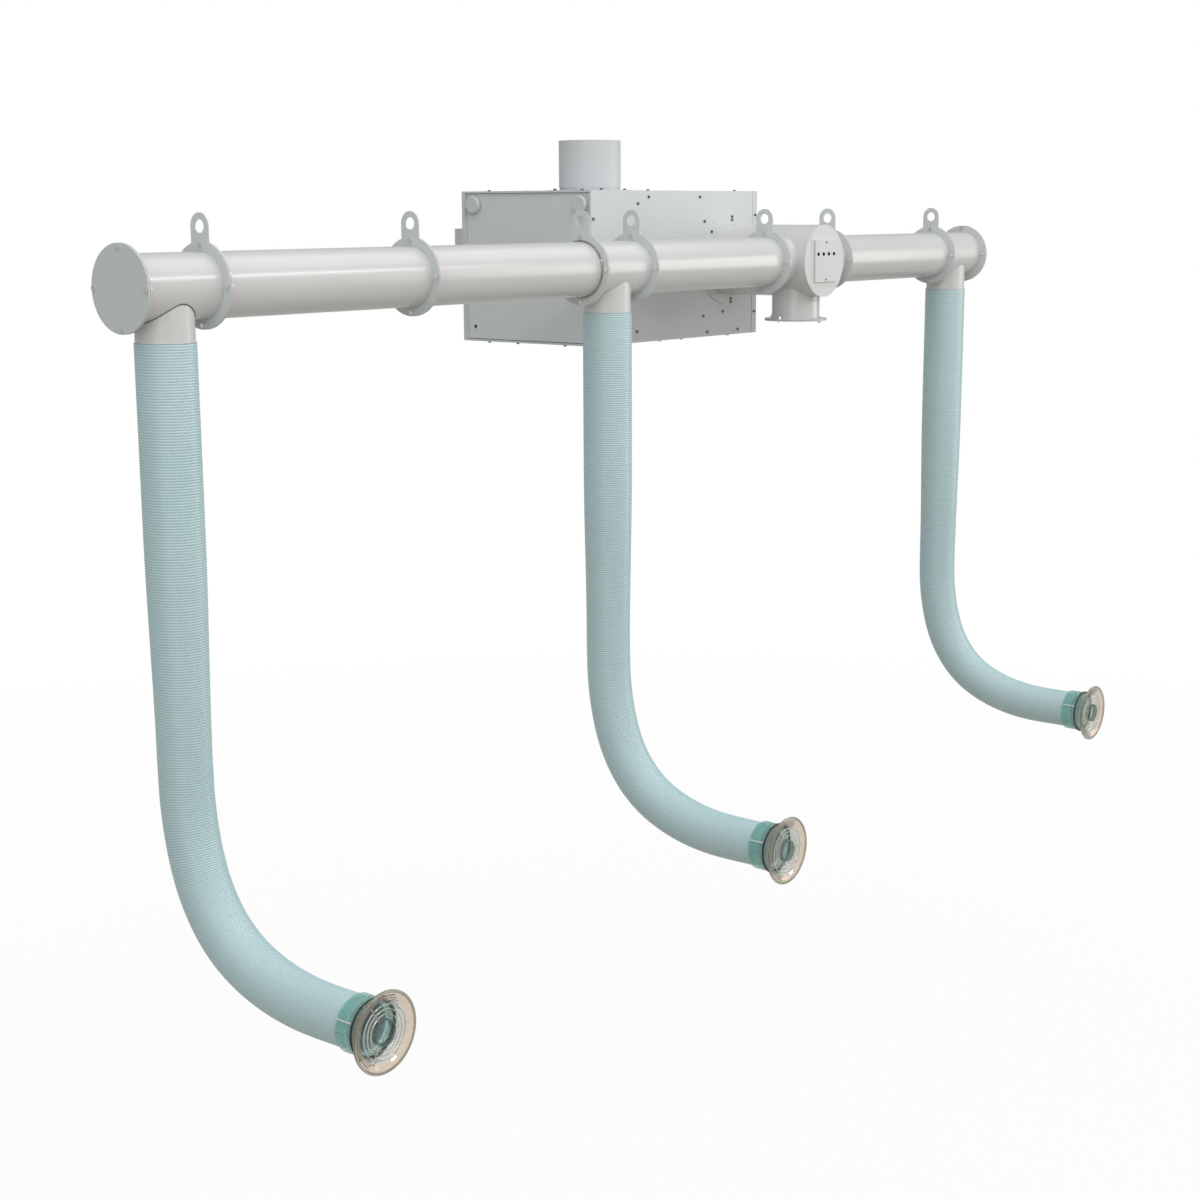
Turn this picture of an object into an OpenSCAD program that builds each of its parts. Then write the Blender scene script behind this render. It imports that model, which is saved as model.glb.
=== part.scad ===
// Ceiling-hung fume extraction manifold: a flanged main duct with three hose arms,
// a hub with a control panel, and a fan and filter cabinet behind it.
// X runs along the main duct, Y towards the cabinet, Z up. The model is built round the
// main duct's axis and the middle tee, then moved so that hanger eye 4 is the origin.

/* [Main duct] */
// Outer diameter of the main duct, the hub's branches and its down stub
duct_d = 125; // [115:1:140]
// Wall of the main duct
duct_wall = 1.5; // [1:0.1:2]
// Length of one straight duct, joint to joint
duct_l = 554; // [400:1:700]
// Length of a tee, joint to joint
tee_l = 186; // [180:1:240]
// Length of the hub along the main duct, joint to joint
hub_l = 298; // [280:1:360]

/* [Flanges and hangers] */
// How far a flange stands out from the duct
flange_rim = 19; // [17:0.5:24]
// Thickness of one flange
flange_t = 2; // [1.5:0.25:4]
// Thickness of the gasket between two flanges
gasket_t = 1; // [0.5:0.25:2.5]
// Distance of the bolt circle from the duct's outside
bolt_out = 11.5; // [10:0.5:13]
// Number of bolts in a flange
bolt_count = 4; // [4:4:8]
// Diameter of a flange bolt
bolt_d = 6; // [5:0.5:6.5]
// Width of a hanger tab
hanger_w = 50; // [44:1:56]
// Diameter of a hanger eye
eye_d = 25; // [18:1:28]
// Height of a hanger eye's centre above the flange's edge
eye_rise = 27; // [24:1:36]
// Thickness of an end cap or blanking plate
cap_t = 3; // [2:0.5:4]

/* [Spigots and hoses] */
// Outer diameter of the spigot under each tee
spigot_d = 110; // [100:1:112]
// Wall of a spigot
spigot_wall = 1.6; // [1.2:0.1:2.5]
// How far the hose's rib crests stand out from the spigot
hose_skirt = 3.5; // [3:0.25:5]
// Depth of the hose's ribs
rib_depth = 3; // [2:0.25:4]
// Wall of the hose under its ribs
hose_skin = 1.5; // [1:0.25:2]
// Length of the spigot's nipple inside the hose
nipple_l = 50; // [30:1:70]

/* [Nozzles] */
// Length of the clear cuff round the hose end
cuff_l = 38; // [32:1:46]
// Wall of the clear cuff
cuff_wall = 2; // [1.5:0.25:3]
// Outer diameter of the bell's mouth
bell_d = 157; // [150:1:170]
// Length of the bell in front of the cuff
bell_l = 34; // [30:1:50]
// Wall of the bell
bell_wall = 2.5; // [2:0.25:3]
// Number of rings in the bell's grille
grille_rings = 3; // [2:1:4]
// Number of spokes in the bell's grille
grille_spokes = 3; // [3:1:6]

/* [Hub and control panel] */
// Outer diameter of the hub's pipe
hub_d = 185; // [176:1:200]
// Wall of the hub's pipe
hub_wall = 2; // [1.5:0.25:3]
// Distance of the hub's front plate from the duct's axis
hub_front = 83.5; // [80:0.5:100]
// Distance of the stub's joint below the duct's axis
stub_drop = 152; // [145:1:180]
// Thickness of the hub's front plate
plate_t = 3; // [2:0.5:4]
// Width and height of the panel's base
panel_base_w = 126; // [120:1:128]
// Width of the raised panel
panel_w = 100; // [95:1:110]
// Height of the raised panel
panel_h = 107; // [100:1:112]
// Depth of the raised panel
panel_deep = 4.5; // [4:0.25:6]
// Diameter of a button
button_d = 9; // [5:0.5:10]
// Distance between buttons
button_pitch = 24.5; // [20:0.5:26]
// Travel of a button
button_travel = 1; // [0.5:0.1:1]

/* [Cabinet] */
// Length of the cabinet along the duct
cab_w = 720; // [680:1:820]
// Depth of the cabinet
cab_d = 432; // [420:1:500]
// Height of the cabinet
cab_h = 383; // [375:1:430]
// Distance of the cabinet's front face from the duct's axis
cab_set = 225; // [215:1:260]
// Height of the cabinet's top above the duct's axis
cab_top = 181; // [178:1:200]
// Distance of the cabinet's closed end from the hub's axis
cab_end = 141; // [130:1:160]
// Sheet metal thickness of the cabinet
sheet = 1.5; // [1:0.25:2]
// Outer diameter of the exhaust collar
exhaust_d = 162; // [140:1:180]
// Height of the exhaust collar above the cabinet
exhaust_h = 129; // [90:1:160]
// Distance of the exhaust's centre from the cabinet's door end
exhaust_in = 262; // [255:1:280]
// How deep the service door lies in its opening
door_recess = 6; // [5:0.5:8]
// Width of the rim round the door's opening
door_rim = 5; // [4:0.5:8]
// Width of that rim at the rear
door_rear_rim = 12; // [8:0.5:16]
// Depth of the service door's folded edge
door_deep = 12; // [10:0.5:14]
// Diameter of a door knob
knob_d = 44; // [34:1:46]
// How far a door knob stands out
knob_h = 14.5; // [12:0.5:20]
// Distance of a knob from the door's edges
knob_in = 28; // [26:0.5:36]

/* [Filters and fan] */
// Height of the main filter
filter_h = 100; // [80:1:110]
// Height of the pre-filter
prefilter_h = 20; // [15:1:25]
// How much of the cabinet's spare height lies under the filters
plenum_share = 0.525; // [0.4:0.005:0.6]
// Diameter of the fan's impeller
impeller_d = 210; // [180:1:220]
// Height of the fan's impeller
impeller_h = 60; // [50:1:62]
// Number of impeller blades
blade_count = 7; // [5:1:9]
// Diameter of the fan motor
motor_d = 96; // [80:1:110]
// Height of the fan motor
motor_h = 44; // [36:1:46]

/* [Hidden] */
$fn = 64;

// Colours
paint = [0.80, 0.81, 0.81];
cool_paint = [0.70, 0.73, 0.74];
warm_pipe = [0.79, 0.77, 0.76];
steel = [0.60, 0.61, 0.62];
teal = [0.64, 0.76, 0.77];
clear = [0.62, 0.66, 0.62, 0.6];
black = [0.05, 0.05, 0.05];
dark = [0.25, 0.26, 0.27];
board_green = [0.10, 0.35, 0.20];
paper = [0.88, 0.87, 0.80];

// One overrun for every cut
overrun = 1;
// A small screw or bolt, its hole and its head have this many sides
screw_sides = 8;
head_sides = 6;

// Joint planes and hose axes along the main duct
duct_r = duct_d/2;
flange_r = duct_r + flange_rim;
bolt_r = duct_r + bolt_out;
tee_left_x = -2*duct_l - tee_l;
hub_x = tee_l/2 + duct_l + hub_l/2;
tee_right_x = hub_x + hub_l/2 + duct_l + tee_l/2;
joint_end_left = tee_left_x - tee_l/2;
joint_1 = tee_left_x + tee_l/2;
joint_2 = joint_1 + duct_l;
joint_3 = -tee_l/2;
joint_4 = tee_l/2;
joint_5 = hub_x - hub_l/2;
joint_6 = hub_x + hub_l/2;
joint_7 = tee_right_x - tee_l/2;
joint_end_right = tee_right_x + tee_l/2;
hanger_joints = [joint_1, joint_2, joint_3, joint_4, joint_5, joint_6, joint_7];
all_joints = concat([joint_end_left], hanger_joints, [joint_end_right]);
hose_axes = [tee_left_x, 0, tee_right_x];

// Flange details
slip_gap = 0.15;
bolt_gap = 0.3;
gasket_in = 1;
head_w = 10;
head_h = 4;
nut_h = 5;
eye_z = flange_r + eye_rise;
origin_x = joint_4 - gasket_t/2 - flange_t/2;

// Hose route in the plane of each arm, as Y and Z from the duct's axis, chosen by hand
route = [[0, -100], [0, -300], [0, -500], [0, -700], [0, -820], [0, -900], [-3, -980], [-14, -1052],
    [-32, -1115], [-58, -1168], [-92, -1212], [-134, -1247], [-186, -1274], [-246, -1293],
    [-305, -1303], [-356, -1306], [-420, -1306], [-475, -1306]];
// The point of the route at which the straight drop ends and the bend starts
split_point = 5;
hose_top = route[0][1];
hose_end = route[len(route) - 1];
drop_ribs = 42;
bend_ribs = 36;
drop_bore_rings = 5;
bend_bore_rings = 20;
hose_sides = 8;
swivel_gap = 0.3;
spigot_r = spigot_d/2;
hose_r = spigot_r + hose_skirt;
rib_root_r = hose_r - rib_depth;
hose_bore_r = rib_root_r - hose_skin;
hose_slim = 0.91;
slim_from_share = 0.45;
slim_to_share = 0.975;
nipple_gap = 0.5;
nipple_r = hose_bore_r*cos(180/hose_sides) - nipple_gap;
shoulder_t = 2;

// Nozzle details
cuff_gap = 0.3;
cuff_bore_r = hose_r*hose_slim + cuff_gap;
cuff_r = cuff_bore_r + cuff_wall;
cuff_hose_l = 23;
cuff_back = hose_end[0] + cuff_hose_l;
cuff_front = cuff_back - cuff_l;
cuff_rib_w = 3;
cuff_rib_h = 1.2;
turn_gap = 0.08;
seal_gap = 1.6;
tail_gap = 2;
tail_r = cuff_bore_r - turn_gap;
tail_l = cuff_l - cuff_hose_l - tail_gap;
bell_back = cuff_front - seal_gap;
bell_front = bell_back - bell_l;
neck_l = 10;
flare_steps = 6;
rim_r = 3;
grille_bar = 2;
grille_deep = 5;
grille_hub_r = 25;
grille_hub_l = 14;
grille_turn = 0;

// Hub and panel details
hub_r = hub_d/2;
plate_back = -hub_front;
plate_face = plate_back - plate_t;
base_t = 1;
base_face = plate_face - base_t;
panel_face = base_face - panel_deep;
panel_wall = 1.2;
board_t = 1.2;
board_edge = 3;
button_proud = 1;
button_gap = 0.15;
button_lip = 1;
button_lip_t = 0.6;
button_slack = 0.2;
button_z = 18;
panel_screw_z = 48;
panel_screw_d = 5;
hub_tail = 10;
collar_rim = 27;
collar_t = 3;
collar_bolt_out = 12.5;

// Cabinet places
cab_x1 = hub_x + cab_end;
cab_x0 = cab_x1 - cab_w;
cab_y0 = cab_set;
cab_y1 = cab_set + cab_d;
cab_z1 = cab_top;
cab_z0 = cab_top - cab_h;
exhaust_x = cab_x0 + exhaust_in;
exhaust_y = cab_y0 + cab_d/2;
exhaust_r = exhaust_d/2;
exhaust_wall = 1.5;
exhaust_flange = 32;
exhaust_flange_t = 2.5;
exhaust_bolts = 4;
exhaust_bolt_out = 15;
exhaust_turn = 57;
exhaust_head_d = 9;
exhaust_head_h = 4;
exhaust_neck_h = 8;
exhaust_neck_in = 1.3;
exhaust_neck_lap = 2;
top_fold = 18;
end_fold = 21;
sheet_gap = 0.3;

// Service door: it tips outwards about two pins at its lower corners
door_x = cab_x0 + door_recess;
door_side_gap = 1;
door_low_gap = 1.6;
door_z0 = cab_z0 + door_rim + door_low_gap;
door_z1 = cab_z1 - door_rim - door_side_gap;
door_y0 = cab_y0 + door_rim + door_side_gap;
door_y1 = cab_y1 - door_rear_rim - door_side_gap;
pivot_in = 3;
pivot_d = 4;
pivot_gap = 0.08;
pivot_reach = 3.5;
pivot_end_gap = 0.3;
pivot_x = door_x + pivot_in;
pivot_z = door_z0 + pivot_in;
door_foam = 2;
frame_x = door_x + door_deep + door_foam;
frame_band = 10;
frame_w = door_rim + frame_band;
frame_rear_w = door_rear_rim + frame_band;
frame_d = cab_d - frame_w - frame_rear_w;
foam_inset = 0.3;
lug_w = 54;
port_in = 37;
port_d = 10;
port_rim = 3.5;
port_rim_t = 1;
stud_d = 6;
stud_gap = 0.08;
stud_slot_gap = 2;
stud_past = 3;
knob_clip = 3;
knob_clip_t = 1.5;
knob_lift = 0.4;
knob_edge = 2.5;
knob_boss_h = 4;
knob_boss_share = 0.75;

// Filters, fan and partition
partition_clear = 2.5;
partition_x = hub_x - hub_r - partition_clear;
rail_w = 26;
rail_t = 2;
rail_leg = 20;
rail_screw_in = 9.2;
rail_screw_drop = 16.7;
filter_gap = 1;
cone_h = 16;
cone_overlap = 4;
motor_lift = 3;
bridge_t = 3;
fan_stack_h = rail_t + prefilter_h + filter_h + filter_gap + sheet + cone_h - cone_overlap
    + impeller_h + motor_lift + motor_h + bridge_t;
plenum_h = plenum_share*(cab_h - 2*sheet - fan_stack_h);
filter_x0 = frame_x + sheet + filter_gap;
filter_x1 = partition_x - filter_gap;
filter_y0 = cab_y0 + frame_w + filter_gap;
filter_y1 = cab_y1 - frame_rear_w - filter_gap;
rail_z = cab_z0 + sheet + plenum_h;
prefilter_z = rail_z + rail_t;
filter_z = prefilter_z + prefilter_h;
filter_frame = 14;
mat_inset = 2;
pleats = 20;
pleat_t = 2.5;
deck_z = filter_z + filter_h + filter_gap;
deck_fold = 14;
fan_inlet_share = 0.58;
fan_inlet_r = impeller_d/2*fan_inlet_share;
cone_flare = 12;
blade_t = 2;
fan_eye_r = fan_inlet_r + cone_flare*cone_overlap/(cone_h + sheet) + blade_t;
impeller_z = deck_z + sheet + cone_h - cone_overlap;
impeller_top = impeller_z + impeller_h;
fan_plate_t = 2;
blade_sweep = 42;
fan_hub_r = 16;
shaft_d = 8;
shaft_gap = 0.05;
motor_z = impeller_top + motor_lift;
motor_top = motor_z + motor_h;
bridge_w = 36;
bridge_gap = 14;
bridge_foot = 24;
bridge_x = impeller_d/2 + bridge_gap;

// Control box and its cable gland
box_in = 23;
box_w = 160;
box_deep = 48;
box_h = 146;
box_down = 95;
box_wall = 2;
gland_in = 30;
gland_r = 9;
gland_l = 16;
gland_bore_d = 8;

// Sheet screws: places as shares of the face that each row lies on
sheet_screw_d = 4;
sheet_head_d = 7.5;
sheet_head_h = 3;
sheet_screw_l = 4.5;
sheet_screw_gap = 0.3;
front_screw_shares = [[0.0125, 0.817], [0.325, 0.958], [0.632, 0.958], [0.262, 0.914],
    [0.662, 0.793], [0.257, 0.074], [0.683, 0.032], [0.783, 0.166], [0.880, 0.034]];
collar_screw_shares = [[0.164, 0.95], [0.164, 0.875], [0.144, -0.875], [0.144, -0.95]];
top_front_shares = [0.337, 0.869];
top_end_shares = [0.079, 0.795];
low_end_shares = [0.204, 0.571, 0.797];
low_front_shares = [0.412, 0.544, 0.837];
screw_edge = 9;
low_screw_edge = 3.2;
low_front_edge = 12;
end_cover_shares = [0.152, 0.833];

// Put a part that was built round the duct's axis into the part's own frame
module place() {
    translate([-origin_x, 0, -eye_z]) children();
}

// A flat plate along X, drawn as Y and Z
module plate_x(x, t) {
    translate([x, 0, 0]) rotate([90, 0, 90]) linear_extrude(t) children();
}

// A flat plate along Y, drawn as X and Z
module plate_y(y, t) {
    translate([0, y + t, 0]) rotate([90, 0, 0]) linear_extrude(t) children();
}

// A round bar along X or Y
module bar_x(x0, x1, r, sides = $fn) {
    translate([x0, 0, 0]) rotate([0, 90, 0]) cylinder(r = r, h = x1 - x0, $fn = sides);
}

module bar_y(y0, y1, r, sides = $fn) {
    translate([0, y1, 0]) rotate([90, 0, 0]) cylinder(r = r, h = y1 - y0, $fn = sides);
}

module tube_x(x0, x1, r, wall) {
    difference() {
        bar_x(x0, x1, r);
        bar_x(x0 - overrun, x1 + overrun, r - wall);
    }
}

// Places of the bolts round an axis along X
module round_bolts() {
    for (k = [0 : bolt_count - 1])
        rotate([k*360/bolt_count, 0, 0]) translate([0, 0, bolt_r]) children();
}

module bolt_holes_x(x0, x1) {
    round_bolts() bar_x(x0 - overrun, x1 + overrun, bolt_d/2 + bolt_gap, screw_sides);
}

// A duct piece between two joints, with its own flange at the left end, or at both
module duct_piece(x0, x1, both = false) {
    left = x0 + gasket_t/2;
    right = x1 - gasket_t/2;
    difference() {
        union() {
            bar_x(left, right, duct_r);
            bar_x(left, left + flange_t, flange_r);
            if (both) bar_x(right - flange_t, right, flange_r);
        }
        bar_x(left - overrun, right + overrun, duct_r - duct_wall);
        bolt_holes_x(left, right);
    }
}

module main_duct(x0) {
    color(paint) place() duct_piece(x0, x0 + duct_l);
}

module tee(cx, both = false) {
    color(paint) place() difference() {
        duct_piece(cx - tee_l/2, cx + tee_l/2, both);
        translate([cx, 0, -duct_d]) cylinder(r = spigot_r - spigot_wall, h = duct_d);
    }
}

// Spigot pipe with a saddle top, a shoulder and a nipple that goes inside the hose
module spigot(cx) {
    color(warm_pipe) place() translate([cx, 0, 0]) difference() {
        union() {
            translate([0, 0, hose_top]) cylinder(r = spigot_r, h = -hose_top);
            translate([0, 0, hose_top - nipple_l]) cylinder(r = nipple_r, h = nipple_l + overrun);
        }
        translate([0, 0, hose_top + shoulder_t]) cylinder(r = spigot_r - spigot_wall, h = -hose_top);
        translate([0, 0, hose_top - nipple_l - overrun])
            cylinder(r = nipple_r - spigot_wall, h = nipple_l + shoulder_t + 2*overrun);
        bar_x(-tee_l/2, tee_l/2, duct_r + slip_gap);
    }
}

module tab_outline() {
    translate([0, eye_z]) circle(d = hanger_w);
    translate([-hanger_w/2, 0]) square([hanger_w, eye_z]);
}

// Ring with a hanger tab, slipped on the right end of the duct piece before a joint
module hanger_ring(k) {
    x = hanger_joints[k] - gasket_t/2 - flange_t;
    color(cool_paint) place() difference() {
        plate_x(x, flange_t) difference() {
            union() {
                circle(r = flange_r);
                tab_outline();
            }
            circle(r = duct_r + slip_gap);
            translate([0, eye_z]) circle(d = eye_d);
        }
        bolt_holes_x(x, x + flange_t);
    }
}

module gasket_ring(joint) {
    difference() {
        tube_x(joint - gasket_t/2, joint + gasket_t/2, flange_r - gasket_in, flange_rim - gasket_in);
        bolt_holes_x(joint - gasket_t/2, joint + gasket_t/2);
    }
}

module stub_frame() {
    translate([hub_x, 0, -stub_drop]) rotate([0, 90, 0]) children();
}

module flange_gaskets() {
    color(cool_paint) place() {
        for (joint = all_joints) gasket_ring(joint);
        stub_frame() gasket_ring(0);
    }
}

// A bolt through a joint, its head on the left and its nut on the right
module joint_bolts(joint, left_t, right_t) {
    left = joint - gasket_t/2 - left_t;
    right = joint + gasket_t/2 + right_t;
    round_bolts() {
        bar_x(left - head_h, left, head_w/2, head_sides);
        bar_x(left - head_h/2, right + nut_h + head_h/2, bolt_d/2, screw_sides);
        bar_x(right, right + nut_h, head_w/2, head_sides);
    }
}

module flange_screws() {
    color(steel) place() {
        joint_bolts(joint_end_left, cap_t, flange_t);
        for (joint = hanger_joints) joint_bolts(joint, flange_t, flange_t);
        joint_bolts(joint_end_right, flange_t, cap_t);
        stub_frame() mirror([1, 0, 0]) joint_bolts(0, cap_t, flange_t);
    }
}

module cap_disc(x) {
    difference() {
        bar_x(x, x + cap_t, flange_r);
        bolt_holes_x(x, x + cap_t);
    }
}

module end_caps() {
    color(cool_paint) place() {
        cap_disc(joint_end_left - gasket_t/2 - cap_t);
        cap_disc(joint_end_right + gasket_t/2);
    }
}

module blanking_plate() {
    color(cool_paint) place() stub_frame() cap_disc(gasket_t/2);
}

// Hub: a wide pipe to the cabinet, two branches in line with the duct and a stub down
module hub_body() {
    left = -hub_l/2 + gasket_t/2;
    right = hub_l/2 - gasket_t/2;
    low = -stub_drop + gasket_t/2;
    pipe_end = cab_y0 + hub_tail;
    color(paint) place() translate([hub_x, 0, 0]) difference() {
        union() {
            bar_y(plate_back, pipe_end, hub_r);
            bar_x(left, right, duct_r);
            bar_x(left, left + flange_t, flange_r);
            translate([0, 0, low]) cylinder(r = duct_r, h = -low);
            translate([0, 0, low]) cylinder(r = flange_r, h = flange_t);
        }
        bar_y(plate_back - overrun, pipe_end + overrun, hub_r - hub_wall);
        bar_x(left - overrun, right + overrun, duct_r - duct_wall);
        translate([0, 0, low - overrun]) cylinder(r = duct_r - duct_wall, h = -low);
        bolt_holes_x(left, left + flange_t);
        translate([0, 0, low]) rotate([0, 90, 0]) bolt_holes_x(-flange_t, 0);
    }
}

// Front plate of the hub and the base that the panel sits on
module hub_front_plate() {
    color(paint) place() translate([hub_x, 0, 0]) {
        plate_y(plate_face, plate_t) circle(r = hub_r);
        plate_y(base_face, base_t + plate_t/2) square([panel_base_w, panel_base_w], center = true);
    }
}

module button_sites() {
    for (k = [0 : 3]) translate([hub_x + (k - 1.5)*button_pitch, 0, button_z]) children();
}

module panel_screw_sites() {
    for (side = [-1, 1]) translate([hub_x, 0, side*panel_screw_z]) children();
}

module control_panel() {
    color(paint) place() difference() {
        translate([hub_x, 0, 0]) difference() {
            plate_y(panel_face, panel_deep) square([panel_w, panel_h], center = true);
            plate_y(panel_face + panel_wall, panel_deep)
                square([panel_w - 2*panel_wall, panel_h - 2*panel_wall], center = true);
        }
        button_sites() bar_y(panel_face - overrun, panel_face + panel_wall + overrun,
            button_d/2 + button_gap);
        panel_screw_sites() bar_y(panel_face - overrun, panel_face + panel_wall + overrun,
            sheet_screw_d/2 + sheet_screw_gap, screw_sides);
    }
}

module control_board() {
    color(board_green) place() difference() {
        translate([hub_x, 0, 0]) plate_y(base_face - board_t, board_t)
            square([panel_w - 2*board_edge, panel_h - 2*board_edge], center = true);
        panel_screw_sites() bar_y(base_face - board_t - overrun, base_face + overrun,
            sheet_screw_d/2 + sheet_screw_gap, screw_sides);
    }
}

// A button cap with a lip behind the panel that keeps it in
module button(k) {
    lip_back = panel_face + panel_wall + button_slack + button_lip_t;
    color(black) place() translate([hub_x + (k - 1.5)*button_pitch, 0, button_z]) {
        bar_y(panel_face - button_proud, lip_back, button_d/2);
        bar_y(lip_back - button_lip_t, lip_back, button_d/2 + button_lip);
    }
}

// Ring that carries the hub's pipe on the cabinet's front
module collar_bolt_sites() {
    for (k = [0 : 3]) translate([hub_x, 0, 0]) rotate([0, 45 + 90*k, 0])
        translate([hub_r + collar_bolt_out, 0, 0]) children();
    for (s = collar_screw_shares)
        translate([hub_x + s[0]*(hub_r + collar_rim), 0, s[1]*(hub_r + collar_rim)]) children();
}

module inlet_collar() {
    color(paint) place() difference() {
        translate([hub_x, 0, 0]) difference() {
            bar_y(cab_y0 - collar_t, cab_y0, hub_r + collar_rim);
            bar_y(cab_y0 - collar_t - overrun, cab_y0 + overrun, hub_r + slip_gap);
        }
        collar_bolt_sites() bar_y(cab_y0 - collar_t - overrun, cab_y0 + overrun,
            sheet_screw_d/2 + sheet_screw_gap, screw_sides);
    }
}

// Places of the cabinet's sheet screws, each pointing into the cabinet along its child's +Z
module front_sites() {
    for (s = front_screw_shares)
        translate([cab_x0 + s[0]*cab_w, cab_y0, cab_z0 + s[1]*cab_h]) rotate([-90, 0, 0]) children();
    translate([filter_x1 - rail_screw_in, cab_y0, rail_z - rail_screw_drop]) rotate([-90, 0, 0]) children();
}

module collar_sites() {
    collar_bolt_sites() translate([0, cab_y0 - collar_t, 0]) rotate([-90, 0, 0]) children();
}

module top_sites() {
    for (s = top_front_shares, y = [cab_y0 + screw_edge, cab_y1 - screw_edge])
        translate([cab_x0 + s*cab_w, y, cab_z1]) rotate([180, 0, 0]) children();
    for (s = top_end_shares)
        translate([cab_x0 + screw_edge, cab_y0 + s*cab_d, cab_z1]) rotate([180, 0, 0]) children();
}

module exhaust_sites() {
    translate([exhaust_x, exhaust_y, cab_z1 + exhaust_flange_t]) for (k = [0 : exhaust_bolts - 1])
        rotate([180, 0, exhaust_turn + k*360/exhaust_bolts]) translate([exhaust_r + exhaust_bolt_out, 0, 0])
            children();
}

module low_sites() {
    for (s = low_end_shares)
        translate([cab_x0 + low_screw_edge, cab_y0 + s*cab_d, cab_z0]) children();
    for (s = low_front_shares)
        translate([cab_x0 + s*cab_w, cab_y0 + low_front_edge, cab_z0]) children();
}

module end_cover_sites() {
    for (s = end_cover_shares) {
        translate([cab_x1 - end_fold/2, cab_y0 - sheet, cab_z0 + s*cab_h]) rotate([-90, 0, 0]) children();
        translate([cab_x1 - end_fold/2, cab_y1 + sheet, cab_z0 + s*cab_h]) rotate([90, 0, 0]) children();
    }
}

module screw_hole() {
    translate([0, 0, -overrun]) cylinder(r = sheet_screw_d/2 + sheet_screw_gap,
        h = sheet_screw_l + 2*overrun, $fn = screw_sides);
}

module screw_body() {
    translate([0, 0, -sheet_head_h]) cylinder(d = sheet_head_d, h = sheet_head_h, $fn = screw_sides);
    translate([0, 0, -sheet_head_h/2])
        cylinder(d = sheet_screw_d, h = sheet_screw_l + sheet_head_h/2, $fn = screw_sides);
}

module sheet_screws() {
    color(steel) place() {
        front_sites() screw_body();
        collar_sites() screw_body();
        top_sites() screw_body();
        low_sites() screw_body();
        end_cover_sites() screw_body();
        exhaust_sites() {
            screw_body();
            translate([0, 0, -exhaust_head_h]) cylinder(d = exhaust_head_d, h = exhaust_head_h,
                $fn = head_sides);
        }
        panel_screw_sites() {
            bar_y(panel_face - sheet_head_h/2, panel_face, panel_screw_d/2, screw_sides);
            bar_y(panel_face - sheet_head_h/4, base_face, sheet_screw_d/2, screw_sides);
        }
    }
}

module knob_sites() {
    for (y = [door_y0 + knob_in, door_y1 - knob_in]) translate([0, y, door_z1 - knob_in]) children();
}

// Floor, front and rear folded from one sheet, with the frame that the door closes on
module cabinet_shell() {
    x1 = cab_x1 - sheet;
    z1 = cab_z1 - sheet;
    color(paint) place() difference() {
        union() {
            translate([cab_x0, cab_y0, cab_z0]) cube([x1 - cab_x0, cab_d, sheet]);
            for (y = [cab_y0, cab_y1 - sheet])
                translate([cab_x0, y, cab_z0]) cube([x1 - cab_x0, sheet, cab_h - sheet]);
            for (y = [cab_y0, cab_y1 - top_fold])
                translate([frame_x, y, z1 - sheet]) cube([x1 - frame_x, top_fold, sheet]);
            plate_x(cab_x0, frame_x + sheet - cab_x0) difference() {
                translate([cab_y0, cab_z0]) square([cab_d, cab_h - sheet]);
                translate([cab_y0 + door_rim, cab_z0 + door_rim])
                    square([cab_d - door_rim - door_rear_rim, cab_h - 2*door_rim]);
            }
            plate_x(frame_x, sheet) difference() {
                translate([cab_y0, cab_z0]) square([cab_d, cab_h - sheet]);
                difference() {
                    translate([cab_y0 + frame_w, cab_z0 + frame_w])
                        square([frame_d, cab_h - 2*frame_w]);
                    for (y = [cab_y0, cab_y1 - lug_w]) translate([y, z1 - lug_w]) square([lug_w, lug_w]);
                }
            }
        }
        translate([hub_x, 0, 0]) bar_y(cab_y0 - overrun, cab_y0 + sheet + overrun, hub_r + slip_gap);
        knob_sites() bar_x(frame_x - overrun, frame_x + sheet + overrun, stud_d/2 + stud_slot_gap);
        translate([pivot_x, 0, pivot_z]) bar_y(cab_y0 + door_rim - pivot_reach,
            cab_y1 - door_rear_rim + pivot_reach, pivot_d/2 + pivot_gap);
        front_sites() screw_hole();
        collar_sites() screw_hole();
        top_sites() screw_hole();
        low_sites() screw_hole();
        end_cover_sites() screw_hole();
    }
}

module cabinet_top() {
    color(paint) place() difference() {
        translate([cab_x0, cab_y0, cab_z1 - sheet]) cube([cab_w - sheet, cab_d, sheet]);
        translate([exhaust_x, exhaust_y, cab_z1 - sheet - overrun])
            cylinder(r = exhaust_r - exhaust_neck_in + slip_gap, h = sheet + 2*overrun);
        top_sites() screw_hole();
        exhaust_sites() screw_hole();
    }
}

// Closed end: a sheet whose folded edges wrap the front and the rear
module end_cover() {
    color(paint) place() difference() {
        union() {
            translate([cab_x1 - sheet, cab_y0, cab_z0]) cube([sheet, cab_d, cab_h]);
            for (y = [cab_y0 - sheet, cab_y1])
                translate([cab_x1 - end_fold, y, cab_z0]) cube([end_fold, sheet, cab_h]);
        }
        end_cover_sites() screw_hole();
    }
}

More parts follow.
